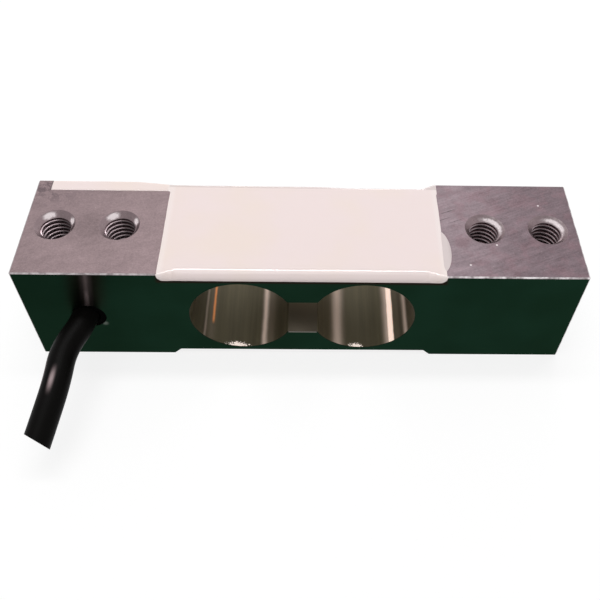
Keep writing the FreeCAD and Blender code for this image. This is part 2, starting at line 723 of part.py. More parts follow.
beam = build_beam()
upper_gauges = [
    build_gauge("strain_gauge_top_cable_end", f"-{BORE_X}", upright),
    build_gauge("strain_gauge_top_load_end", BORE_X, facing_back),
]
lower_gauges = [
    build_gauge("strain_gauge_bottom_load_end", BORE_X, over_end),
    build_gauge("strain_gauge_bottom_cable_end", f"-{BORE_X}", over_end.multiply(facing_back)),
]
upper_board = build_board("terminal_board_top", upright)
lower_board = build_board("terminal_board_bottom", over_end)
resistors = [build_resistor("zero_balance_resistor", "-"), build_resistor("span_resistor", "")]
jacket = build_jacket()
cores = [
    build_core("core_red", 1, -1, False, 1),
    build_core("core_black", -1, -1, True, 2),
    build_core("core_green", 1, 1, False, 3),
    build_core("core_white", -1, 1, True, 4),
]
links = build_links()
upper_leads = build_leads("gauge_leads_top", upright)
lower_leads = build_leads("gauge_leads_bottom", over_end)
link_pads = [(index, "Sizes.linkDiameter") for index in (0, 5, 6)]
core_pads = [(index, "Sizes.coreDiameter") for index in (1, 2, 3, 4)]
upper_solder = build_solder(
    "solder_joints_top", solder_spots(link_pads + core_pads), upright, cores + [links, upper_leads]
)
lower_solder = build_solder("solder_joints_bottom", solder_spots(link_pads), over_end, [links, lower_leads])
seal = build_seal(jacket, cores)
upper_silicone = build_silicone(
    "top_silicone",
    "",
    "Sizes.siliconeProud",
    "Sizes.beamWidth / 2 + Sizes.siliconeOverhang",
    "Sizes.beamWidth / 2 - Sizes.siliconeBackStep",
    upper_gauges + [upper_board] + resistors + cores + [links, upper_leads, upper_solder],
)
lower_silicone = build_silicone(
    "bottom_silicone",
    "-",
    "-Sizes.lowerSink",
    "Sizes.beamWidth / 2 - Sizes.lowerStep",
    "Sizes.beamWidth / 2 - Sizes.siliconeBackStep",
    lower_gauges + [lower_board, links, lower_leads, lower_solder],
)
doc.recompute()

pieces = [beam, *upper_gauges, *lower_gauges, upper_board, lower_board, *resistors, jacket, *cores]
pieces += [links, upper_leads, lower_leads, upper_solder, lower_solder, seal, upper_silicone, lower_silicone]
for thing in doc.Objects:
    if "Invalid" in thing.State or "Error" in thing.State:
        raise RuntimeError(f"{thing.Label} failed: {thing.State}")
for piece in pieces:
    if piece.Shape.isNull() or not piece.Shape.isValid() or not piece.Shape.Solids:
        raise RuntimeError(f"{piece.Label} has no valid solid")

os.makedirs("parts", exist_ok=True)
for piece in pieces:
    piece.Shape.exportStep(f"parts/{piece.Label}.step")
    print(f"{piece.Label}: {len(piece.Shape.Solids)} solids, {piece.Shape.Volume:.2f} mm3")
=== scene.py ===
import math
import bpy
from mathutils import Matrix, Vector


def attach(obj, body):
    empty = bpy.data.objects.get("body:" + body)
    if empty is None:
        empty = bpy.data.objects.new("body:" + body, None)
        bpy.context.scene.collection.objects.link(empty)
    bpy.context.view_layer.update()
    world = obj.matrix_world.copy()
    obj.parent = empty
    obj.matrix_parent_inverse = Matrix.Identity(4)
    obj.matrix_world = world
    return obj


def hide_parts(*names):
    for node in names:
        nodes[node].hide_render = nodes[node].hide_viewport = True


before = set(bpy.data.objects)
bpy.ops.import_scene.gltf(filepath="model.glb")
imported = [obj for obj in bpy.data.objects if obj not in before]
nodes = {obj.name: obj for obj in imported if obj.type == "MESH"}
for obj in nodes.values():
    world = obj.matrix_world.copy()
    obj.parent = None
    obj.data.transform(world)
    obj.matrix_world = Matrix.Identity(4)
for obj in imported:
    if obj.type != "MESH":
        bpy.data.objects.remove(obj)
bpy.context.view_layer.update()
mm = 0.001  # measures are written in millimetres


def pick(*things):
    bpy.ops.object.select_all(action='DESELECT')
    for thing in things:
        thing.select_set(True)
    bpy.context.view_layer.objects.active = things[0]


def newObject(name, data):  # put in the scene
    thing = bpy.data.objects.new(name, data)
    bpy.context.collection.objects.link(thing)
    return thing


def edit(thing, kind='VERT'):  # into edit mode with nothing selected
    pick(thing)
    bpy.ops.object.mode_set(mode='EDIT')
    bpy.ops.mesh.select_mode(type=kind)
    bpy.ops.mesh.select_all(action='DESELECT')


def done():
    bpy.ops.object.mode_set(mode='OBJECT')


def choose(thing, kind, wanted):  # into edit mode with the wanted edges or faces selected
    edit(thing, kind)
    done()
    mesh = thing.data
    if kind == 'FACE':
        for face in mesh.polygons:
            face.select = wanted(face.center / mm, face.normal)
    else:
        for line in mesh.edges:
            a, b = (mesh.vertices[i].co / mm for i in line.vertices)
            line.select = wanted(a, b)
    bpy.ops.object.mode_set(mode='EDIT')


def apply(thing, kind, **settings):  # adds a modifier and applies it
    pick(thing)
    modifier = thing.modifiers.new(kind.title(), kind)
    for name, value in settings.items():
        setattr(modifier, name, value)
    bpy.ops.object.modifier_apply(modifier=modifier.name)


def applyPlace():  # place, turn and scale go into the mesh
    bpy.ops.object.transform_apply(location=True, rotation=True, scale=True)


def settle(thing, name, slot, *finishes, smooth=30):  # gives a piece its name, finishes and body
    pick(thing)
    applyPlace()
    bpy.ops.object.shade_smooth_by_angle(angle=math.radians(smooth))
    thing.name = thing.data.name = name
    thing.data.materials.clear()
    for finish in finishes:
        thing.data.materials.append(finish.material)
    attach(thing, "root")


def weld(gap):  # merges points that lie closer than the gap
    bpy.ops.mesh.select_all(action='SELECT')
    bpy.ops.mesh.remove_doubles(threshold=gap * mm)


def trim(point, normal):  # takes off what lies past the plane and closes the cut
    bpy.ops.mesh.select_all(action='SELECT')
    bpy.ops.mesh.bisect(plane_co=Vector(point) * mm, plane_no=Vector(normal).normalized(),
                        threshold=1e-7, use_fill=True, clear_outer=True)


def box(x, y, z):  # a cube stretched between three pairs of places
    bpy.ops.mesh.primitive_cube_add(size=mm, location=[(a + b) / 2 * mm for a, b in (x, y, z)])
    made = bpy.context.object
    made.scale = [abs(b - a) for a, b in (x, y, z)]
    applyPlace()
    return made


class Field:  # a shader socket that takes part in sums
    def __init__(self, finish, socket):
        self.finish, self.socket = finish, socket

    def __add__(self, other):
        return self.finish.maths('ADD', self, other)

    def __radd__(self, other):
        return self.finish.maths('ADD', other, self)

    def __sub__(self, other):
        return self.finish.maths('SUBTRACT', self, other)

    def __rsub__(self, other):
        return self.finish.maths('SUBTRACT', other, self)

    def __mul__(self, other):
        return self.finish.maths('MULTIPLY', self, other)

    def __rmul__(self, other):
        return self.finish.maths('MULTIPLY', other, self)

    def __abs__(self):
        return self.finish.maths('ABSOLUTE', self)

    def rise(self, low, high):  # 0 below low, 1 above high, and smooth between them
        return self.finish.node('MapRange', {'interpolation_type': 'SMOOTHSTEP'},
                                {0: self, 1: low, 2: high})

    def hump(self, middle, width):  # 1 at the middle, 0 past the width
        return 1 - abs(self - middle).rise(0, width)

    def bands(self, places):  # humps added up, each with its middle, width and strength
        return sum(self.hump(middle, width) * strength for middle, width, strength in places)


class Finish:  # a material on one Principled shader
    def __init__(self, name, **constants):
        self.material = bpy.data.materials.new(name)
        self.material.use_nodes = True
        self.tree = self.material.node_tree
        self.shader = self.tree.nodes['Principled BSDF']
        self.set(**constants)
        self.object = self.node('TexCoord', {}, {}, 'Object')
        parts = self.node('SeparateXYZ', {}, {0: self.object}).socket.node.outputs
        self.x, self.y, self.z = (Field(self, part) * 1000 for part in parts)  # millimetres

    def feed(self, socket, value):
        if isinstance(value, Field):
            self.tree.links.new(value.socket, socket)
        else:
            socket.default_value = value

    def set(self, **sockets):
        for name, value in sockets.items():
            self.feed(self.shader.inputs[name.replace('_', ' ')], value)

    def node(self, kind, settings, sockets, output=0):
        made = self.tree.nodes.new('ShaderNode' + kind)
        for name, value in settings.items():
            setattr(made, name, value)
        for name, value in sockets.items():
            self.feed(made.inputs[name], value)
        return Field(self, made.outputs[output])

    def maths(self, operation, *values):
        return self.node('Math', {'operation': operation}, dict(enumerate(values)))

    def blend(self, share, first, second):  # of two colours
        return self.node('Mix', {'data_type': 'RGBA'}, {0: share, 6: first, 7: second}, 2)

    def lit(self, colour, light):  # a colour made lighter or darker
        if not isinstance(colour, Field):
            colour = colour[:3]
        return self.node('VectorMath', {'operation': 'SCALE'}, {0: colour, 'Scale': light})

    def stretched(self, turn, *scale):  # coordinates turned about Z, with the scale per millimetre
        if len(scale) == 1:
            scale = scale * 3
        turned = self.node('Mapping', {}, {0: self.object,
                                           'Rotation': (0, 0, -math.radians(turn))})
        return self.node('Mapping', {}, {0: turned, 'Scale': [1000 * part for part in scale]})

    def noise(self, where, detail=3.0, rough=0.55):
        return self.node('TexNoise', {}, {'Vector': where, 'Scale': 1.0, 'Detail': detail,
                                          'Roughness': rough})

    def specks(self, where, size, share):  # small round dots in a share of the cells
        cells = self.node('TexVoronoi', {}, {'Vector': where})
        colour = Field(self, cells.socket.node.outputs['Color'])
        chance = self.node('SeparateColor', {}, {0: colour})
        return (1 - cells.rise(size * 0.5, size)) * chance.rise(1 - share, 1 - share + 0.02)

    def distance(self, point):  # to a point, in millimetres
        return self.node('VectorMath', {'operation': 'DISTANCE'},
                         {0: self.object, 1: Vector(point) * mm}, 'Value') * 1000

    def spot(self, point, inner, outer):  # 1 within the inner radius, 0 past the outer one
        return 1 - self.distance(point).rise(inner, outer)

    def bump(self, height, depth):  # depth in millimetres for a height of 1
        self.set(Normal=self.node('Bump', {}, {'Strength': 1.0, 'Distance': depth * mm,
                                               'Height': height}))


def shade(red, green, blue):  # a colour as seen, 0 to 255, made linear
    parts = [part / 255 for part in (red, green, blue)]
    linear = [p / 12.92 if p <= 0.04045 else ((p + 0.055) / 1.055) ** 2.4 for p in parts]
    return (*linear, 1.0)


# the beam: a green coated bar with milled ends, two bores joined by a slot, and four tapped holes
beamCut = {
    "halfLength": 65, "halfWidth": 15, "height": 31, "midHeight": 15.5, "blockStart": 33,
    "boreX": 14.5, "boreRadius": 12.3, "slotHalf": 5.7, "rimBreak": 0.07,
    "holeX": (-58, -43, 43, 58), "pairX": 50.5, "halfPitch": 7.5, "sinkRadius": 4.75,
}
beamLook = {
    # milled faces: the cable end is one grey, the load end darkens outward
    "leftGrey": (134, 117, 119), "rightNear": (127, 113, 118), "rightFar": (110, 96, 101),
    "rightTint": (122, 98, 104), "rightFade": (34, 56),
    "milledRough": 0.42, "milledRelief": 0.005, "brushTurn": 23.5,
    "stain": (92, 80, 84), "stainX": (-63, -50), "stainY": (3, 12),
    "darkerSpot": (-50.5, 0, 31), "darkerSize": (1, 8),
    "nickGlint": (228, 220, 220), "nickGlintSize": (0.05, 0.4),
    "nickGlints": [(45.1, -5.1), (57.1, 7.9), (38.2, -11.3)],
    "gouges": [(33.0, 2.8), (34.4, 5.4), (36.2, 2.4)], "gougeSize": (3.2, 0.14, 0.5),
    # dark green coat: painted shade at its cable end, a painted shadow under the silicone's lip, a
    # painted highlight on the slot's edge, and its dust
    "coat": (16, 37, 26), "coatLight": (19, 42, 31), "coatGlow": (0.55, 0.6, 0.55, 1.0),
    "coatRough": 0.34, "coatRelief": 0.003, "coatDust": (90, 110, 100),
    "endShade": 0.7, "endFade": (-64, -30),
    "lipShadow": (34, 20, 18), "lipShadowHalf": (32.2, 33.4), "lipShadowZ": (27.9, 28.5),
    "slotEdgeHighlight": (150, 142, 136), "sillZ": 9.62, "sillHalf": (3.3, 3.6), "sillWidth": 0.34,
    # painted reflections above the cable, a light streak in a dark haze, and a painted glint
    # beside the cable
    "streakReflection": (182, 163, 163), "streakX": -50.15, "streakZ": 19.4, "streakLean": 0.17,
    "streakWidths": (0.8, 1.9), "streakFoot": (18.4, 19.6), "streakFade": (22.5, 26),
    "darkReflection": (34, 22, 20), "darkReflectionWidth": 6, "darkReflectionFoot": (15, 22),
    "glint": (92, 98, 92), "glintAt": (-47.3, -15, 12.7), "glintSize": (0.2, 1.1),
    # bores and slot: painted reflection bands by their angle from the bottom, width and strength
    "bore": (107, 99, 76), "boreWarmReflection": (255, 165, 100), "boreReflection": (255, 228, 212),
    "slot": (104, 94, 78), "boreGlint": (250, 246, 242), "slotJoint": (3.4, 3.7),
    "boreRough": 0.45, "boreRelief": 0.004, "rimDepth": 2,
    "loadReflections": [(39, 5, 1.5), (34, 11, 0.4), (-28, 16, 0.45), (62, 8, 0.4), (50, 30, 0.12)],
    "fixedReflections": [(23, 7, 0.45), (31, 15, 0.2), (-52, 4, 0.3), (-43, 11, 0.16)],
    "loadRim": (-6, 13), "fixedRim": (-8, 22), "warmBand": (-41, 2.8), "warmY": (-10.5, -8.5),
    # tapped holes: painted highlights of the countersink by angle and radius, and the thread's
    # painted light and shade
    "hole": (132, 115, 118), "sinkHighlight": (250, 238, 240), "sinkDepth": (1.2, 1.5),
    "sinkHighlights": [(122, 32, 2.4), (26, 20, 2.2)], "sinkHighlightRing": (4.05, 0.75),
    "crescentHighlight": (40, 82), "crescentRing": (3.9, 0.5), "holeShade": (68, 80),
    "thread": (225, 205, 210), "threadRootShade": (84, 54, 58), "threadRough": 0.3,
    "rootRadius": (3.45, 3.75), "litSideAngle": (85, 135), "threadDeepShade": (3, 12),
    # broken edges with a painted highlight, and the rims of the bores and the cable's hole,
    # painted dark as shade
    "edgeDull": (128, 118, 120), "edgeHighlight": (236, 229, 231), "edgeRough": 0.3,
    "edgeHighlightFade": (-20, 40), "rim": (40, 36, 32), "rimDark": (28, 25, 22),
    "drilled": (24, 22, 20), "drilledDark": (10, 9, 8), "drilledRough": 0.5,
}


def milledFinish():
    f = Finish("milledFace", Metallic=1.0)
    look, turn, top = beamLook, beamLook["brushTurn"], beamCut["height"]
    lines = f.noise(f.stretched(turn, 0.12, 2.0, 1), detail=4, rough=0.65)  # brush lines
    grain = f.noise(f.stretched(0, 2.6), detail=4, rough=0.75)
    mottle = f.noise(f.stretched(turn, 0.25, 0.6, 0.4), detail=4, rough=0.6)
    cloud = f.noise(f.stretched(0, 0.09), detail=3)
    glintDots = f.specks(f.stretched(0, 0.42), 0.1, 0.14)
    pits = f.specks(f.stretched(31, 0.36), 0.09, 0.12)
    load = f.x.rise(-1, 1)  # 1 at the load end
    outward = f.x.rise(*look["rightFade"])
    grey = f.blend(outward, shade(*look["rightNear"]), shade(*look["rightFar"]))
    tint = f.noise(f.stretched(0, 0.3), detail=4, rough=0.65).rise(0.42, 0.66)
    grey = f.blend(tint * 0.5, grey, shade(*look["rightTint"]))
    grey = f.blend(load, shade(*look["leftGrey"]), grey)
    # the stained corner behind the groove's end
    worn = (1 - f.x.rise(*look["stainX"])) * f.y.rise(*look["stainY"])
    stains = f.noise(f.stretched(0, 0.5), detail=5, rough=0.7).rise(0.46, 0.58) * worn
    gouges = 0
    for x, y in look["gouges"]:
        far = f.node('Mapping', {'vector_type': 'TEXTURE'},
                     {0: f.object, 'Location': (x * mm, y * mm, top * mm),
                      'Rotation': (0, 0, math.radians(turn)),
                      'Scale': [size * mm for size in look["gougeSize"]]})
        far = f.node('VectorMath', {'operation': 'LENGTH'}, {0: far}, 'Value')
        gouges = gouges + (1 - far.rise(0.4, 1))
    light = 1 + (lines - 0.5) * (0.15 + load * 0.45)  # the load end is brushed deeper
    light = light + (grain - 0.5) * 0.9 + (mottle - 0.5) * (0.25 + load * 0.35)
    light = light + (cloud - 0.5) * 0.3 - pits * 0.25 - gouges * 0.6
    # a darker patch on the face between the cable end's tapped holes
    light = light - f.spot(look["darkerSpot"], *look["darkerSize"]) * 0.14
    grey = f.blend(stains * 0.8, grey, shade(*look["stain"]))
    grey = f.lit(grey, light)
    # nicks and specks are real marks; their brightness is painted in as glints
    bright = glintDots * 0.6
    for x, y in look["nickGlints"]:
        bright = bright + f.spot((x, y, top), *look["nickGlintSize"]) * 0.7
    grey = f.blend(bright.rise(0, 1), grey, shade(*look["nickGlint"]))
    f.set(Base_Color=grey, Roughness=look["milledRough"] + (mottle - 0.5) * 0.2 + stains * 0.1)
    f.bump(lines + grain * 0.4 - gouges, look["milledRelief"])
    return f


def coatFinish():
    look = beamLook
    f = Finish("darkGreenCoat", Metallic=1.0, Specular_Tint=look["coatGlow"])
    grain = f.noise(f.stretched(0, 0.1, 1.0, 1.6), detail=3)
    cloud = f.noise(f.stretched(0, 0.06), detail=2)
    dust = f.specks(f.stretched(0, 0.3), 0.06, 0.08)
    face = -beamCut["halfWidth"]
    front = 1 - f.y.rise(face + 0.01, face + 0.1)  # 1 on the front face
    lean = f.x - (f.z - look["streakZ"]) * look["streakLean"] - look["streakX"]
    narrow, wide = look["streakWidths"]
    core = 1 - f.z.rise(*look["streakFade"]) * 0.75
    # a painted light streak, a reflection on the coat above the cable
    paintedStreak = lean.hump(0, narrow) * core + lean.hump(0, wide) * 0.22
    paintedStreak = paintedStreak * f.z.rise(*look["streakFoot"]) * front
    # a painted dark reflection of the cable round the streak
    darkReflection = lean.hump(0, look["darkReflectionWidth"]) * f.z.rise(*look["darkReflectionFoot"]) * front
    green = f.blend(cloud.rise(0.3, 0.7), shade(*look["coat"]), shade(*look["coatLight"]))
    green = f.lit(green, look["endShade"] + f.x.rise(*look["endFade"]) * (1 - look["endShade"]))
    # a painted shadow along the front face under the silicone's lip
    shadowUnderLip = f.z.rise(*look["lipShadowZ"]) * (1 - abs(f.x).rise(*look["lipShadowHalf"])) * front
    green = f.blend(shadowUnderLip * 0.9, green, shade(*look["lipShadow"]))
    # a painted highlight along the slot's lower edge on the front face
    sillHighlight = (1 - abs(f.x).rise(*look["sillHalf"])) * front
    sillHighlight = sillHighlight * f.z.hump(look["sillZ"], look["sillWidth"])
    green = f.blend(sillHighlight * 0.8, green, shade(*look["slotEdgeHighlight"]))
    green = f.blend(darkReflection * 0.75, green, shade(*look["darkReflection"]))
    green = f.blend(paintedStreak * 0.95, green, shade(*look["streakReflection"]))
    green = f.blend(dust * 0.25, green, shade(*look["coatDust"]))
    glint = f.spot(look["glintAt"], *look["glintSize"])
    green = f.blend(glint * 0.8, green, shade(*look["glint"]))
    f.set(Base_Color=green, Roughness=look["coatRough"] + (grain - 0.5) * 0.2)
    f.bump(grain, look["coatRelief"])
    return f


def boreFinish():
    f = Finish("boredWall")
    look, boreX, halfWidth = beamLook, beamCut["boreX"], beamCut["halfWidth"]
    load = f.x.rise(-0.1, 0.1)  # 1 in the load end's bore, 0 in the fixed end's
    fixed = 1 - load
    across = f.x + boreX - 2 * boreX * load
    down = beamCut["midHeight"] - f.z
    # the angle round the axis, from the bottom toward the load end
    angle = f.maths('ARCTAN2', across, down) * math.degrees(1)
    turned = f.node('CombineXYZ', {}, {0: angle * 0.1, 1: f.y * 0.015, 2: load * 7})
    lines = f.noise(turned, detail=5, rough=0.65)  # turning lines round the bore
    drift = angle + (f.noise(f.stretched(0, 0.13)) - 0.5) * 3
    reflectBands = load * drift.bands(look["loadReflections"]) + fixed * drift.bands(look["fixedReflections"])
    slot = 1 - abs(f.x).rise(*look["slotJoint"])
    rim = 1 - f.y.rise(-halfWidth, look["rimDepth"] - halfWidth)  # 1 at the front
    rim = rim * (fixed * drift.hump(*look["fixedRim"]) + load * drift.hump(*look["loadRim"]))
    glintNoise = f.noise(f.stretched(0, 2.8), detail=3)  # the painted glints low on the front rims
    glints = (glintNoise + rim * 0.42).rise(0.68, 0.74) * rim.rise(0.02, 0.2) * (1 - slot)
    reflectBands = reflectBands * (1 - slot)
    wall = f.lit(shade(*look["bore"]), 0.75 + (lines - 0.5) * 0.9)
    wall = f.blend((reflectBands * (0.7 + lines * 0.6)).rise(0, 1), wall, shade(*look["boreReflection"]))
    # a painted orange reflection band in the fixed end's bore
    warmReflection = fixed * drift.hump(*look["warmBand"]) * f.y.rise(*look["warmY"])
    wall = f.blend(warmReflection, wall, shade(*look["boreWarmReflection"]))
    # the slot's colour is painted darker toward the front as shade
    wall = f.blend(slot, wall, f.lit(shade(*look["slot"]), 0.55 + f.y.rise(-halfWidth, 0) * 1.5))
    wall = f.blend(glints, wall, shade(*look["boreGlint"]))
    bright = reflectBands.rise(0, 1)
    # the painted reflection bands and glints also glow through the emission
    f.set(Base_Color=wall, Roughness=look["boreRough"] + (lines - 0.5) * 0.2,
          Metallic=0.6 - bright * 0.2 - glints * 0.4,
          Emission_Color=f.lit(shade(*look["boreReflection"]), bright * bright * 0.6 + glints * 0.5),
          Emission_Strength=1.0)
    f.bump(lines, look["boreRelief"])
    return f


def threadFinish():
    f = Finish("tappedHole", Metallic=1.0)
    look, pairX, middle = beamLook, beamCut["pairX"], beamCut["midHeight"]
    end = f.maths('SIGN', f.x)
    axis = end * (pairX + f.maths('SIGN', abs(f.x) - pairX) * beamCut["halfPitch"])
    across = f.x - axis
    angle = f.maths('ARCTAN2', f.y, across) * math.degrees(1)
    radius = f.maths('SQRT', across * across + f.y * f.y)
    depth = middle - abs(f.z - middle)  # below the nearer face
    sink = 1 - depth.rise(*look["sinkDepth"])  # 1 in the countersink
    load = end.rise(-1, 1)
    grain = f.noise(f.stretched(0, 1.4), detail=4, rough=0.7)
    swirl = f.noise(f.stretched(0, 0.6, 0.6, 2.0), detail=3)
    # painted highlights in the countersinks: patches at the cable end, a crescent at the load end
    sinkHighlights = (1 - load) * angle.bands(look["sinkHighlights"]) * radius.hump(*look["sinkHighlightRing"])
    ring = 0.35 + radius.hump(*look["crescentRing"]) * 1.5
    crescentHighlight = load * angle.hump(*look["crescentHighlight"]) * ring
    glow = ((sinkHighlights + crescentHighlight) * (0.8 + (grain - 0.5) * 2)).rise(0, 1.2)
    shaded = 1.16 + (grain - 0.5) * 0.5 - angle.hump(*look["holeShade"]) * 0.35
    cone = f.blend(glow, f.lit(shade(*look["hole"]), shaded), shade(*look["sinkHighlight"]))
    # the side of the thread that catches the light is painted lighter, the roots and the depth
    # painted darker
    facing = abs(angle).rise(*look["litSideAngle"]) * (1 - load * 0.7)
    root = radius.rise(*look["rootRadius"])
    light = 0.1 + load * 0.14 + facing * 0.9
    light = light * (1 - depth.rise(*look["threadDeepShade"]) * 0.4) * (0.75 + swirl * 0.5)
    metal = f.blend(root, f.lit(shade(*look["thread"]), light),
                    f.lit(shade(*look["threadRootShade"]), 0.5 + load * 0.7 + light * 0.7))
    metal = f.blend(sink, metal, cone)
    f.set(Base_Color=metal, Roughness=look["threadRough"] + (swirl - 0.5) * 0.2,
          Metallic=0.75 - glow * sink * 0.6)
    return f


def edgeFinish():
    look = beamLook
    f = Finish("brokenEdge", Metallic=1.0)
    nickGlint = f.noise(f.stretched(0, 0.7), detail=4)
    # a painted highlight along the broken edges, brighter toward the load end
    shine = nickGlint.rise(0.3, 0.7) * (0.5 + f.x.rise(*look["edgeHighlightFade"]) * 0.5)
    f.set(Base_Color=f.blend(shine, shade(*look["edgeDull"]), shade(*look["edgeHighlight"])),
          Roughness=look["edgeRough"] + nickGlint * 0.2)
    return f


def plainFinish(name, colour, darker, metallic=0.0, roughness=0.4, gloss=0.5):  # softly mottled
    f = Finish(name, Metallic=metallic, Specular_IOR_Level=gloss)
    spot = f.noise(f.stretched(0, 1.0))
    f.set(Base_Color=f.blend(spot, shade(*darker), shade(*colour)),
          Roughness=roughness + (spot - 0.5) * 0.1)
    return f


# the M8 thread of the tapped holes: its radii, and the outline of one pitch
threadCut = {"wall": 3.41, "root": 3.9, "pitch": 1.25, "crest": 0.46, "rootFlat": 0.2, "turns": 28,
             "steps": 40, "start": -2, "spare": 0.5}


def makeThreadCutter():  # one pitch drawn up beside the axis and turned by a Screw modifier
    bpy.ops.mesh.primitive_plane_add(size=mm, location=(0, 0, 0))
    cutter = bpy.context.object
    t = threadCut
    flank = (t["pitch"] - t["crest"] - t["rootFlat"]) / 2
    depth = t["root"] - t["wall"]
    edit(cutter)
    bpy.ops.mesh.select_all(action='SELECT')
    bpy.ops.mesh.merge(type='CENTER')
    bpy.ops.transform.translate(value=(t["wall"] * mm, 0, t["start"] * mm))
    for out, up in ((0, t["crest"]), (depth, flank), (0, t["rootFlat"]), (-depth, flank)):
        bpy.ops.mesh.extrude_region_move(TRANSFORM_OT_translate={"value": (out * mm, 0, up * mm)})
    done()
    apply(cutter, 'SCREW', axis='Z', angle=2 * math.pi, screw_offset=t["pitch"] * mm,
          iterations=t["turns"], steps=t["steps"], render_steps=t["steps"])
    edit(cutter)
    weld(0.001)
    trim((0, 0, -t["spare"]), (0, 0, -1))
    trim((0, 0, beamCut["height"] + t["spare"]), (0, 0, 1))
    bpy.ops.mesh.select_all(action='SELECT')
    bpy.ops.mesh.normals_make_consistent(inside=False)
    done()
    copies = [cutter]
    for x in beamCut["holeX"][1:]:
        copies.append(newObject("threadCutter", cutter.data.copy()))
        copies[-1].location.x = x * mm
    cutter.location.x = beamCut["holeX"][0] * mm
    pick(*copies)
    bpy.ops.object.join()
    return cutter


def onRim(a, b):  # the sharp edges of the cross bores and the slot, on the front and back faces
    c = beamCut
    for p in (a, b):
        if abs(abs(p.y) - c["halfWidth"]) > 0.01:
            return False
        fromAxis = math.hypot(abs(p.x) - c["boreX"], p.z - c["midHeight"])
        inSlot = abs(p.x) < c["boreX"] and abs(abs(p.z - c["midHeight"]) - c["slotHalf"]) < 0.01
        if abs(fromAxis - c["boreRadius"]) > 0.05 and not inSlot:
            return False
    return True


beamFinishes = ("milled", "coat", "bore", "thread", "edge", "rim", "drilled")


def beamFinishOf(centre, normal):  # which finish a face of the beam wears, by its place
    c = beamCut
    fromMiddle = centre.z - c["midHeight"]
    fromHole = min(math.hypot(centre.x - x, centre.y) for x in c["holeX"])
    if fromHole < c["sinkRadius"] and abs(normal.z) < 0.999:
        return "thread"
    inBore = math.hypot(abs(centre.x) - c["boreX"], fromMiddle) < c["boreRadius"] + c["rimBreak"]
    inSlot = abs(centre.x) < c["boreX"] and abs(fromMiddle) < c["slotHalf"] + 2 * c["rimBreak"]
    if (inBore or inSlot) and abs(normal.y) < 0.99:
        return "bore" if abs(normal.y) < 0.1 else "rim"
    outside = abs(centre.x) > c["blockStart"] or abs(centre.y) > c["halfWidth"] - 1
    if sum(abs(part) > 0.3 for part in normal) > 1 and (outside or abs(normal.y) > 0.01):
        return "edge"
    if abs(normal.z) > 0.9 or (not outside and abs(normal.z) > 0.3):
        return "milled"
    if abs(centre.y) > c["halfWidth"] - 0.01 or abs(centre.x) > c["halfLength"] - 0.1:
        return "coat"
    return "drilled"


def makeBeam():
    beam = newObject("beam", nodes["beam_body"].data.copy())
    edit(beam)
    bpy.ops.mesh.customdata_custom_splitnormals_clear()
    weld(0.002)
    bpy.ops.mesh.dissolve_limited(angle_limit=math.radians(0.3))
    done()
    choose(beam, 'EDGE', onRim)
    bpy.ops.mesh.bevel(offset=beamCut["rimBreak"] * mm, segments=1, affect='EDGES')
    done()
    cutter = makeThreadCutter()
    apply(beam, 'BOOLEAN', operation='DIFFERENCE', object=cutter, solver='EXACT')
    bpy.data.objects.remove(cutter)
    # the bores' rims and the drilled walls are painted dark as shade
    rim = plainFinish("boreRimShade", beamLook["rim"], beamLook["rimDark"], metallic=1.0)
    drilled = plainFinish("drilledHoleShade", beamLook["drilled"], beamLook["drilledDark"],
                          metallic=1.0, roughness=beamLook["drilledRough"])
    settle(beam, "beam", "aluminium", milledFinish(), coatFinish(), boreFinish(), threadFinish(),
           edgeFinish(), rim, drilled, smooth=35)
    for face in beam.data.polygons:
        face.material_index = beamFinishes.index(beamFinishOf(face.center / mm, face.normal))
    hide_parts("beam_body")


# the silicone over the gauges and in the wire groove
siliconeLook = {
    "colour": (244, 227, 225), "other": (244, 227, 219), "roughness": 0.09, "relief": 0.015,
    # the rim colour is a painted highlight along the pad's ends
    "dust": (190, 180, 175), "rim": (250, 240, 238), "rimStart": (30.8, 32), "rimEnd": (33, 33.4),
    # painted shade: at the foot of the upper lip, on the pad's slanted back, at the back of the
    # fill
    "footZ": (28.7, 30.4), "upperZ": (20, 21),
    "backY": (12.6, 13.2), "backEnd": (32.6, 33.2), "fillBackY": (14.6, 14.95),
}
topPour = {
    # the pad
    "end": 32.9, "rimStart": 31.6, "rimTilt": 7, "front": -15.5, "back": 14.97, "backTop": 13.12,
    "floor": 28.6, "top": 31.12, "face": 31.0, "lipFoot": 0.8,
    "cornerRound": 3.3, "cornerFlats": (22, 45, 68),
    # its front edge, each rounding from, to and radius, mirrored to the other end
    "rounds": ((-29, 29, 2.8), (28.9, 30.5, 2.2), (30.4, 31.6, 1.6), (31.5, 32.9, 1.1)),
    # the fill of the groove, which falls away to the pad
    "grooveFront": 11.5, "grooveBack": 14.97, "grooveDepth": 2.2, "grooveStart": -61.5,
    "grooveEnd": -25, "fillProud": 0.1, "fillRound": 0.6,
    "fallFrom": -44, "fallTo": -27, "fallInset": 0.1,
    # the bead over the wires, and the climb to the load end's back corner
    "bead": 0.26, "beadEnd": 4.5, "beadFade": 11, "beadLean": 1.5,
    "climbStart": 26.2, "climbFrom": 29.2, "climbTo": 32.8,
    # the cast surface
    "voxel": 0.28, "smooth": 7, "ripple": 0.06, "rippleSize": 6,
}
lowerPour = dict(topPour, rimStart=31.2, floor=2.2, top=0.3, face=0.35, front=-13.2,
                 rounds=((-32.9, 32.9, 0.8),), grooveDepth=1.9, lipFoot=0, bead=0.65)
glance = (0, 0.71, -0.70)  # down and back: the slanted cuts behind the pad run along it


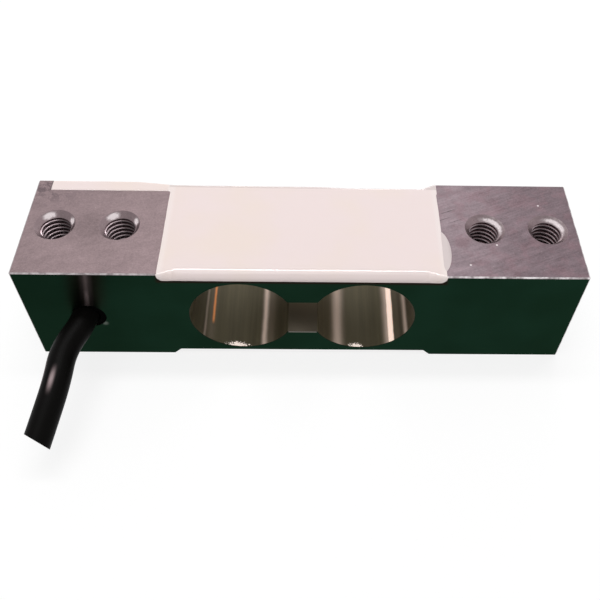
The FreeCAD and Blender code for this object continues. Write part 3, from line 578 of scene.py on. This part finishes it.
def siliconeFinish():
    look = siliconeLook
    f = Finish("whiteSilicone", IOR=1.42, Specular_IOR_Level=0.9)
    cloud = f.noise(f.stretched(0, 0.05), detail=2)
    ripple = f.noise(f.stretched(0, 0.14), detail=1)
    fine = f.noise(f.stretched(0, 0.8), detail=2)
    dust = f.specks(f.stretched(0, 0.2), 0.05, 0.15)
    tone = f.blend(cloud.rise(0.35, 0.65), shade(*look["colour"]), shade(*look["other"]))
    # a painted highlight along the pad's ends
    rim = abs(f.x).rise(*look["rimStart"]) * (1 - abs(f.x).rise(*look["rimEnd"]))
    tone = f.blend(rim * 0.4, tone, shade(*look["rim"]))
    tone = f.blend(dust * 0.12, tone, shade(*look["dust"]))
    # painted shade low on the upper lip's front, and behind the pad and the fill
    low = (1 - f.z.rise(*look["footZ"])) * f.z.rise(*look["upperZ"])
    behind = f.y.rise(*look["backY"]) * (1 - abs(f.x).rise(*look["backEnd"]))
    behind = behind + f.y.rise(*look["fillBackY"])
    tone = f.lit(tone, 1 - low * 0.15 - behind.rise(0, 1) * 0.2)
    f.set(Base_Color=tone, Roughness=look["roughness"] + (fine - 0.5) * 0.05)
    f.bump(ripple, look["relief"])
    return f


def roundLong(y, z, radius, outward, side, flats=5):  # rounds a long edge with flats on the arc
    for step in range(1, flats + 1):
        angle = math.radians(90 * step / (flats + 1))
        out, up = math.sin(angle) * outward, math.cos(angle) * side
        trim((0, y + (out - outward) * radius, z + (up - side) * radius), (0, out, up))


def trimAlong(start, end, side):  # takes off what lies behind a line, along the glance
    slant = (end - start).cross(Vector((0, glance[1], glance[2] * side)))
    trim(start, slant * math.copysign(1, slant.y))


def padStretch(p, side, start, stop, radius):  # one stretch of the pad, with its rounding
    tilt = math.radians(p["rimTilt"])
    corner = p["cornerRound"]
    stretch = box((start, stop), (p["front"], p["back"]), (p["floor"], p["top"]))
    edit(stretch)
    for end in (-1, 1):
        trim((end * p["rimStart"], 0, p["top"]), (end * math.sin(tilt), 0, side * math.cos(tilt)))
        for angle in p["cornerFlats"]:  # the low corners of the front
            out = end * math.sin(math.radians(angle))
            down = -side * math.cos(math.radians(angle))
            x = end * (p["end"] - corner) + out * corner
            z = p["floor"] + side * corner + down * corner
            trim((x, 0, z), (out, 0, down))
    roundLong(p["front"], p["top"], radius, -1, side)
    trim((0, p["front"] + p["lipFoot"], p["floor"]), (0, -1, -side))
    trim((0, p["backTop"], p["top"]), (0, -glance[2], glance[1] * side))
    done()
    return stretch


def grooveFill(p, side, heights):  # falls away to the pad's back edge behind the inner tapped hole
    fill = box((p["grooveStart"], p["grooveEnd"]), (p["grooveFront"], p["grooveBack"]), heights)
    edit(fill)
    trimAlong(Vector((p["fallFrom"], p["grooveBack"], heights[1])),
              Vector((p["fallTo"], p["backTop"] - p["fallInset"], heights[1])), side)
    roundLong(p["grooveBack"], heights[1], p["fillRound"], 1, side, flats=2)
    done()
    return fill


def wireBead(p, side, heights):  # a low bead behind the pad that covers the wires under it
    bead = box((p["fallFrom"], p["beadFade"]), (p["grooveFront"], p["grooveBack"]),
               (p["floor"], p["top"]))
    edit(bead)
    over = Vector((0, -glance[2], glance[1] * side)).normalized()
    trim(Vector((0, p["backTop"], p["top"])) + over * p["bead"], over)
    trimAlong(Vector((p["beadEnd"], p["backTop"] + p["bead"] * p["beadLean"], heights[1])),
              Vector((p["beadFade"], p["backTop"], heights[1])), side)
    done()
    return bead


def endClimb(p, side, heights):  # at the load end the silicone climbs to the block's back corner
    climb = box((p["climbStart"], p["climbTo"]), (p["grooveFront"], p["grooveBack"]), heights)
    edit(climb)
    trimAlong(Vector((p["climbFrom"], p["backTop"], heights[1])),
              Vector((p["climbTo"], p["grooveBack"], heights[1])), side)
    done()
    return climb


def pourShape(p, side):  # pad and groove as one casting, rounded by a remesh and a smoothing
    spans = list(p["rounds"])
    spans += [(-stop, -start, radius) for start, stop, radius in spans if start > 0]
    heights = (p["face"] - side * p["grooveDepth"], p["face"] + side * p["fillProud"])
    parts = [padStretch(p, side, *span) for span in spans]
    parts += [make(p, side, heights) for make in (grooveFill, wireBead, endClimb)]
    pad = parts[0]
    pick(*parts)
    bpy.ops.object.join()
    pad.data.remesh_voxel_size = p["voxel"] * mm
    pad.data.remesh_voxel_adaptivity = 0
    bpy.ops.object.voxel_remesh()
    apply(pad, 'SMOOTH', factor=0.5, iterations=p["smooth"])
    ripple = bpy.data.textures.new("ripple", 'CLOUDS')
    ripple.noise_scale = p["rippleSize"] * mm
    apply(pad, 'DISPLACE', texture=ripple, strength=p["ripple"] * mm, texture_coords='GLOBAL')
    return pad


# a thin smear of silicone on the load end's face
smear = {"place": (31.4, -7.2, 31.0), "size": (2.8, 6.6, 0.1), "start": 32.4,
         "startFacing": (-1, 0.03, 0), "colour": (220, 207, 206), "edge": (206, 192, 192),
         "thinX": (33.2, 34.4), "roughness": 0.15}


def smearFinish():
    f = Finish("thinSmear", IOR=1.42)
    fine = f.noise(f.stretched(0, 0.5), detail=2)
    thin = f.x.rise(*smear["thinX"])
    f.set(Base_Color=f.blend(thin, shade(*smear["colour"]), shade(*smear["edge"])),
          Roughness=smear["roughness"] + fine * 0.1)
    return f


def makeSmear():
    bpy.ops.mesh.primitive_uv_sphere_add(segments=48, ring_count=16, radius=mm, location=(0, 0, 0))
    thin = bpy.context.object
    thin.scale = smear["size"]
    thin.location = Vector(smear["place"]) * mm
    applyPlace()
    edit(thin)
    trim(smear["place"], (0, 0, -1))
    trim((smear["start"], 0, 0), smear["startFacing"])
    done()
    return thin


def makeTopSilicone(finish):
    pad = pourShape(topPour, 1)
    thin = makeSmear()
    thick = len(pad.data.polygons)
    pick(pad, thin)
    bpy.ops.object.join()
    settle(pad, "topSilicone", "silicone", finish, smearFinish(), smooth=60)
    for face in pad.data.polygons:  # the smear's faces come after the pad's
        face.material_index = int(face.index >= thick)
    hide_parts("top_silicone")


def makeLowerSilicone(finish):
    pad = pourShape(lowerPour, -1)
    settle(pad, "bottomSilicone", "silicone", finish, smooth=60)
    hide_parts("bottom_silicone")


# the cable, its cut face turned about 16 degrees from square to its run
cable = {
    "mouth": (-50.5, -15.0, 15.5), "diameter": 6.2, "wall": 0.9, "spare": 2.0, "length": 39.4,
    "route": [(-0.4, 8.0, 0.0), (-0.4, -0.6, 0.0), (-4.2, -9.2, -0.4), (-4.4, -17.0, -1.7),
              (-5.5, -23.8, -3.5), (-6.9, -30.0, -5.7)],
    "cutFacing": (-0.48, -0.84, -0.25), "fillingDepth": 0.25,
    "coreRing": 0.95, "coreRadius": 0.65, "coreWall": 0.27, "coreDepth": 0.05, "coreLength": 3,
    "cores": {"red": (176, 30, 24), "black": (26, 26, 26), "green": (22, 116, 52),
              "white": (226, 225, 220)},
    "jacket": (5, 5, 4), "jacketDust": (13, 11, 11), "jacketRough": 0.42, "jacketRelief": 0.008,
    "filling": (120, 118, 112), "fillingDark": (90, 88, 84),
    "copper": (214, 132, 92), "copperDark": (180, 100, 66),
    # the painted shines lie along the run: place, half length, half width, strength
    "shine": (200, 178, 180), "shineRun": (-0.1, -0.97, -0.21),
    "shines": [((-55.2, -33.0, 16.2), 4.5, 1.1, 1.0), ((-57.7, -31.0, 15.2), 7.0, 1.3, 0.55)],
}


def cableFinish():
    f = Finish("blackJacket", IOR=1.12)
    grain = f.noise(f.stretched(0, 1.2), detail=4)
    cloud = f.noise(f.stretched(0, 0.2), detail=2)
    dark = f.blend(cloud, shade(*cable["jacket"]), shade(*cable["jacketDust"]))
    run = Vector(cable["shineRun"]).normalized()
    # highlights painted into the jacket's colour
    shineMask = 0
    for point, long, wide, strength in cable["shines"]:
        along = f.x * run.x + f.y * run.y + f.z * run.z - Vector(point).dot(run)
        apart = f.distance(point)
        aside = f.maths('SQRT', apart * apart - along * along)
        shineMask = shineMask + along.hump(0, long) * aside.hump(0, wide) * strength
    f.set(Base_Color=f.blend(shineMask.rise(0, 1), dark, shade(*cable["shine"])),
          Roughness=cable["jacketRough"] + (grain - 0.5) * 0.12)
    f.bump(grain, cable["jacketRelief"])
    return f


def makeCord(end, onward, places):  # a round cord on a smooth curve, and its middle line's points
    line = bpy.data.curves.new("cable", 'CURVE')
    line.dimensions = '3D'
    spline = line.splines.new('NURBS')
    spline.points.add(len(places) - 1)
    for point, spot in zip(spline.points, places):
        point.co = (*(spot * mm), 1)
    spline.order_u = 3
    spline.use_endpoint_u = True
    line.resolution_u = 24
    cord = newObject("cable", line)
    bare = bpy.data.meshes.new_from_object(cord)  # the middle line, before it gets its thickness
    path = [point.co.copy() for point in bare.vertices]
    path = [spot for spot in path if (spot / mm - end).dot(onward) < 0] + [end * mm]
    line.bevel_depth = cable["diameter"] / 2 * mm
    line.bevel_resolution = 14
    line.use_fill_caps = True
    pick(cord)
    bpy.ops.object.convert(target='MESH')
    return bpy.context.object, path


def makeCoreEnd(name, colour, copper, centre, onward, end, facing):  # insulation round copper
    turn = onward.to_track_quat('Z', 'Y').to_euler()
    bpy.ops.mesh.primitive_cylinder_add(
        vertices=32, radius=cable["coreRadius"] * mm, depth=cable["coreLength"] * mm,
        location=(centre - onward) * mm, rotation=turn)
    core = bpy.context.object
    applyPlace()
    edit(core)
    trim(end - facing * cable["coreDepth"], facing)
    done()
    choose(core, 'FACE', lambda middle, normal: normal.dot(facing) > 0.99)
    bpy.ops.mesh.inset(thickness=cable["coreWall"] * mm, depth=0)
    done()
    pvc = plainFinish(name + "CoreEnd", colour, [part * 0.8 for part in colour], roughness=0.35)
    settle(core, name + "CoreEnd", name + "_pvc", pvc, copper)
    for face in core.data.polygons:  # the copper is the one face inside the inset
        face.material_index = int(len(face.vertices) > 4 and face.normal.dot(facing) > 0.9)
    return core


def makeCable():
    mouth, facing = Vector(cable["mouth"]), Vector(cable["cutFacing"]).normalized()
    places = [mouth + Vector(step) for step in cable["route"]]
    end, onward = places[-1], (places[-1] - places[-2]).normalized()
    places[-1] = end + onward * cable["spare"]  # a little over, for the cut
    cord, path = makeCord(end, onward, places)
    edit(cord)
    weld(0.001)
    trim(end, facing)
    weld(0.02)
    done()
    # the cut end: the jacket's wall, the filling sunk a little in it, and the four cores
    choose(cord, 'FACE',
           lambda centre, normal: normal.dot(facing) > 0.99 and (centre - end).length < 1)
    bpy.ops.mesh.inset(thickness=cable["wall"] * mm, depth=0)
    sunk = -facing * cable["fillingDepth"] * mm
    bpy.ops.mesh.extrude_region_move(TRANSFORM_OT_translate={"value": sunk})
    done()
    filling = plainFinish("cableFilling", cable["filling"], cable["fillingDark"])
    settle(cord, "cable", "cable_pvc", cableFinish(), filling)
    for face in cord.data.polygons:  # the filling is the one face inside the jacket's wall
        inward = (face.center / mm - end).length < 2 and face.normal.dot(facing) > 0.9
        face.material_index = int(inward and len(face.vertices) > 4)
    across = onward.cross(Vector((0, 0, 1))).normalized()
    up = across.cross(onward)
    copper = plainFinish("copperStrand", cable["copper"], cable["copperDark"], metallic=1.0,
                         roughness=0.25)
    for turn, (name, colour) in enumerate(cable["cores"].items()):
        angle = math.radians(45 + 90 * turn)
        centre = end + (across * math.cos(angle) + up * math.sin(angle)) * cable["coreRing"]
        makeCoreEnd(name, colour, copper, centre, onward, end, facing)
    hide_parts("cable_jacket")


# the inner pieces, kept as model.glb gives them
inside = {
    "coreColours": {"red": ((170, 30, 24), (140, 20, 16)), "black": ((24, 24, 24), (12, 12, 12)),
                    "green": ((20, 110, 50), (14, 86, 38)),
                    "white": ((225, 225, 220), (200, 200, 195))},
    # each finish with its two colours, its settings and the nodes that wear it
    "pieces": [
        ("sealCompound", (5, 5, 5), (3, 3, 3), {"roughness": 0.95, "gloss": 0.02}, ["cable_seal"]),
        ("linkPvc", (210, 165, 40), (180, 140, 30), {}, ["link_wires"]),
        ("gaugeFilm", (190, 125, 50), (160, 100, 40), {"roughness": 0.25},
         [name for name in nodes if name.startswith("strain_gauge")]),
        ("board", (30, 110, 60), (20, 90, 46), {"roughness": 0.3},
         ["terminal_board_top", "terminal_board_bottom"]),
        ("ceramic", (50, 50, 54), (36, 36, 40), {}, ["zero_balance_resistor", "span_resistor"]),
        ("tinnedCopper", (205, 150, 110), (180, 120, 85), {"metallic": 1.0, "roughness": 0.25},
         ["gauge_leads_top", "gauge_leads_bottom"]),
        ("solder", (205, 205, 202), (170, 170, 168), {"metallic": 1.0, "roughness": 0.25},
         ["solder_joints_top", "solder_joints_bottom"]),
    ],
}


def dressInside():
    pieces = list(inside["pieces"])
    for name, (colour, darker) in inside["coreColours"].items():
        pieces.append((name + "Pvc", colour, darker, {"roughness": 0.35}, ["core_" + name]))
    for finishName, colour, darker, settings, names in pieces:
        finish = plainFinish(finishName, colour, darker, **settings)
        for name in names:
            mesh = nodes[name].data
            mesh.materials.clear()
            mesh.materials.append(finish.material)


# the studio, in metres and watts
studio = {
    "worldLight": 0.4, "floorPaint": (245, 245, 245), "floorRough": 0.9, "floorGlow": 0.75,
    "glow": 1.08, "floorSize": 6, "aim": (0, 0, 0.015),
    # each lamp's place, size and power
    "lamps": {"stripLamp": ((0.0, 0.2, 0.95), (0.75, 0.1), 3.2),
              "softLamp": ((-0.2, -0.1, 0.95), (0.7, 0.6), 1.8),
              "backLamp": ((0.1, 0.8, 0.35), (0.5, 0.2), 1.5)},
}


def seenRays(tree):  # 1 for rays from the camera, a glossy surface or through a clear one
    path = tree.nodes.new('ShaderNodeLightPath')
    total = path.outputs['Is Camera Ray']
    for name in ('Is Glossy Ray', 'Is Transmission Ray'):
        both = tree.nodes.new('ShaderNodeMath')
        both.operation = 'MAXIMUM'
        tree.links.new(total, both.inputs[0])
        tree.links.new(path.outputs[name], both.inputs[1])
        total = both.outputs[0]
    return total


def makeStudio():
    bpy.ops.mesh.primitive_plane_add(size=studio["floorSize"], location=(0, 0, 0))
    floor = bpy.context.object
    floor.name = "floor"
    paint = Finish("floorPaint", Base_Color=shade(*studio["floorPaint"]),
                   Roughness=studio["floorRough"])
    white = paint.node('Emission', {}, {'Color': (1, 1, 1, 1), 'Strength': studio["glow"]})
    seen = Field(paint, seenRays(paint.tree))
    mixed = paint.node('MixShader', {}, {0: seen * studio["floorGlow"],
                                         1: Field(paint, paint.shader.outputs[0]), 2: white})
    paint.feed(paint.tree.nodes['Material Output'].inputs['Surface'], mixed)
    floor.data.materials.append(paint.material)

    world = bpy.context.scene.world or bpy.data.worlds.new("studio")
    bpy.context.scene.world = world
    world.use_nodes = True
    tree = world.node_tree
    level = tree.nodes.new('ShaderNodeMapRange')
    level.inputs['To Min'].default_value = studio["worldLight"]
    level.inputs['To Max'].default_value = 1.0
    tree.links.new(seenRays(tree), level.inputs[0])
    background = tree.nodes['Background']
    background.inputs['Color'].default_value = (1, 1, 1, 1)
    tree.links.new(level.outputs[0], background.inputs['Strength'])

    for name, (spot, size, power) in studio["lamps"].items():
        lamp = bpy.data.lights.new(name, 'AREA')
        lamp.shape = 'RECTANGLE'
        lamp.size, lamp.size_y = size
        lamp.energy = power
        thing = newObject(name, lamp)
        thing.location = spot
        toward = Vector(studio["aim"]) - Vector(spot)
        thing.rotation_euler = toward.to_track_quat('-Z', 'Y').to_euler()


# the camera, in metres, with the directions to its right and up
eye = {
    "sensor": 36, "lens": 45.3893, "shift": (-0.04856, -0.02766), "clipStart": 0.01,
    "place": (0.00162, -0.12276, 0.16078),
    "right": (0.99963, -0.00955, 0.02545), "up": (-0.00866, 0.77548, 0.63132),
}


def makeCamera():
    data = bpy.data.cameras.new("camera")
    data.sensor_width = eye["sensor"]
    data.lens = eye["lens"]
    data.shift_x, data.shift_y = eye["shift"]
    data.clip_start = eye["clipStart"]
    camera = newObject("camera", data)
    right, up = Vector(eye["right"]), Vector(eye["up"])
    turn = Matrix((right, up, right.cross(up))).transposed().to_4x4()
    camera.matrix_world = Matrix.Translation(eye["place"]) @ turn
    bpy.context.scene.camera = camera
    bpy.context.scene.view_settings.view_transform = 'Standard'


makeStudio()
makeCamera()
print("studio and camera stand")
makeCable()
print("cable laid")
makeBeam()
print("beam cut and finished")
silicone = siliconeFinish()
makeTopSilicone(silicone)
makeLowerSilicone(silicone)
print("silicone poured")
dressInside()
print("inner pieces dressed")
